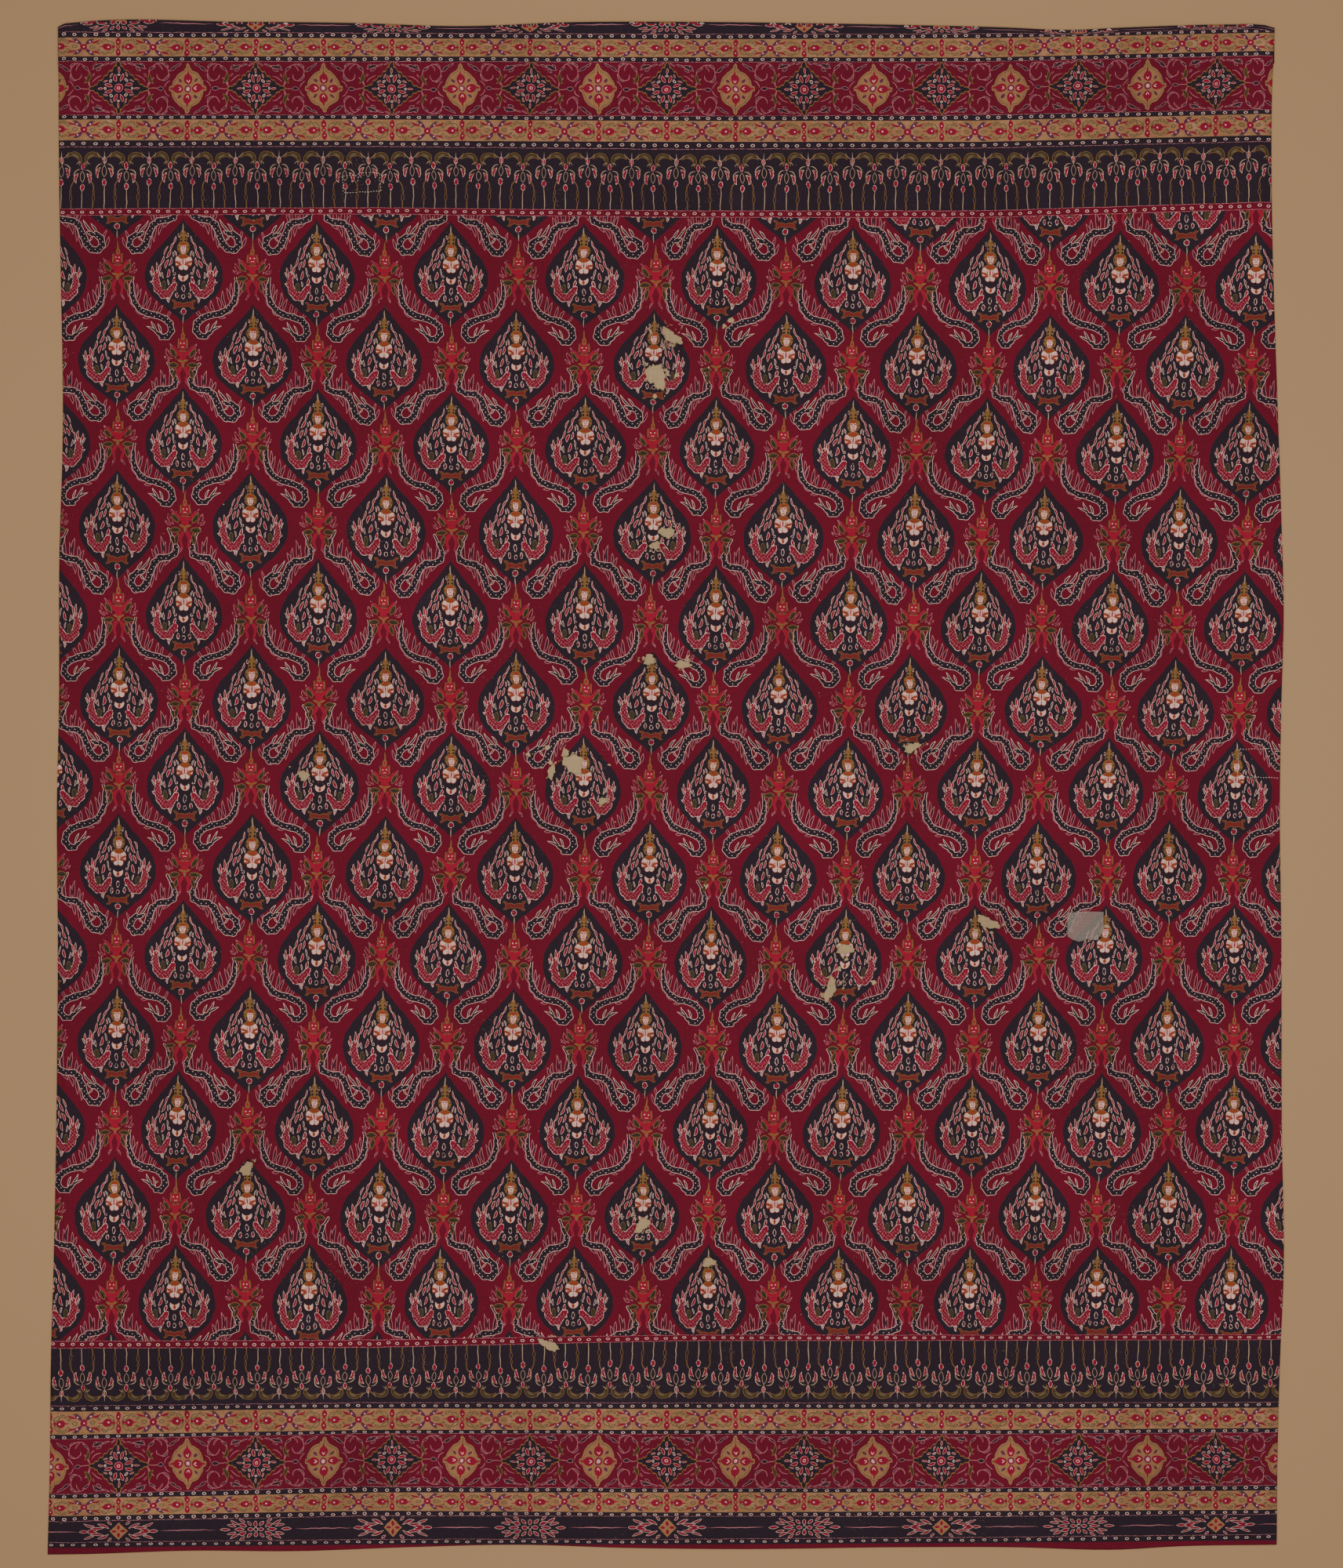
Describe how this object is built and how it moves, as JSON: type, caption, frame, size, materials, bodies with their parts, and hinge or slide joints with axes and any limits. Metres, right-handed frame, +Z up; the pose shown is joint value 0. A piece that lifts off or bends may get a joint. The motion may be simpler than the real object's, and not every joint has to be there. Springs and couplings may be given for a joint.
{
  "type": "resist-dyed cotton cloth",
  "caption": "Large patterned cotton cloth with wide borders and a field of figured medallions, turned under at the top and laid flat on a plain backing cloth.",
  "frame": {"origin": "on the surface the cloth lies on, under the middle of the whole", "axes": "+Z up out of the patterned face, +Y along the length towards the turned edge, +X across the width"},
  "size_m": [1.0592, 1.315, 0.004],
  "materials": {
    "dyed_cotton": "matt plain weave, dyed crimson, purple-black and ochre",
    "undyed_cotton": "matt plain weave, undyed",
    "sheer_net": "sheer pale net over the dyed cloth"
  },
  "bodies": {
    "root": {"cloth": "dyed_cotton", "backing": "undyed_cotton", "sheer_patch": "sheer_net"}
  },
  "joints": []
}
